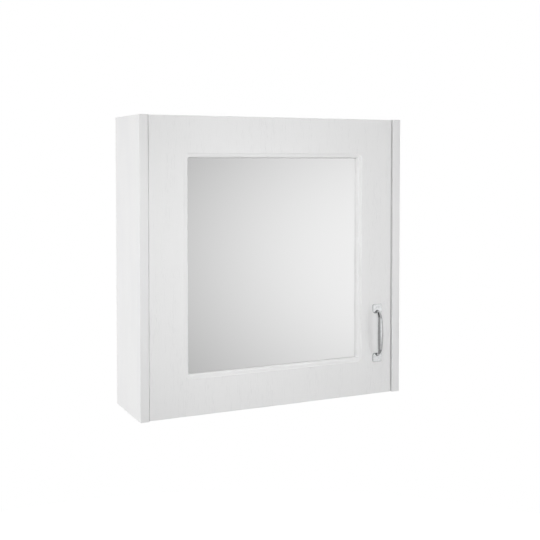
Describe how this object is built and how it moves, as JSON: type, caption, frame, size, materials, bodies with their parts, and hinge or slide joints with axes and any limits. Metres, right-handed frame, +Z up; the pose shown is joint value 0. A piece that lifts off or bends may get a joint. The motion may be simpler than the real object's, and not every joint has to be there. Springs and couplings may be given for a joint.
{
  "type": "mirrored wall cabinet",
  "caption": "Square white wall cabinet with an inset framed mirror door on concealed hinges at its left, a chrome bow pull at lower right, and shelves inside.",
  "frame": {"origin": "on the wall plane, midway between the two wall screw holes of the hanging rail", "axes": "+X to the right seen from the front, +Y into the wall, +Z up; the door faces -Y"},
  "size_m": [0.595, 0.1773, 0.6],
  "materials": {
    "white_board": "white foil on chipboard, satin",
    "white_foil": "white ash-grain foil on fibreboard, satin",
    "white_hardboard": "white coated hardboard",
    "brown_hardboard": "bare hardboard",
    "mirror": "silvered float glass",
    "chrome": "bright polished",
    "nickel_steel": "nickel-plated steel",
    "zinc_steel": "zinc-plated steel",
    "zinc_alloy": "bare die casting",
    "beech": "bare fluted wood",
    "white_plastic": "moulded, matt",
    "soft_rubber": "pale translucent, matt"
  },
  "bodies": {
    "carcass": {"left_side_panel": "white_board", "right_side_panel": "white_board", "top_panel": "white_board", "bottom_panel": "white_board", "back_panel": "white_hardboard", "hanging_rail": "white_board", "lower_shelf": "white_board", "upper_shelf": "white_board", "wood_dowels": "beech", "cam_bolts": "zinc_steel", "cam_locks": "zinc_alloy", "shelf_pins": "nickel_steel", "upper_hinge_plate": "nickel_steel", "upper_hinge_arm": "nickel_steel", "upper_hinge_claw": "nickel_steel", "lower_hinge_plate": "nickel_steel", "lower_hinge_arm": "nickel_steel", "lower_hinge_claw": "nickel_steel", "claw_rivets": "nickel_steel", "hinge_plate_screws": "zinc_steel", "hinge_clamp_screws": "zinc_steel", "hinge_adjusters": "zinc_steel"},
    "door": {"door_frame": "white_foil", "mirror_glass": "mirror", "mirror_backing": "brown_hardboard", "backing_clips": "white_plastic", "backing_clip_screws": "zinc_steel", "upper_hinge_cup": "nickel_steel", "lower_hinge_cup": "nickel_steel", "hinge_pins": "zinc_steel", "hinge_cup_screws": "zinc_steel", "pull_handle": "chrome", "handle_screws": "zinc_steel", "door_buffers": "soft_rubber"}
  },
  "joints": [
    {"name": "door_swing", "type": "hinge", "parent": "carcass", "child": "door", "pos_m": [-0.2679, -0.1528, -0.242], "axis": [0, 0, -1], "range_deg": [0, 95]}
  ]
}
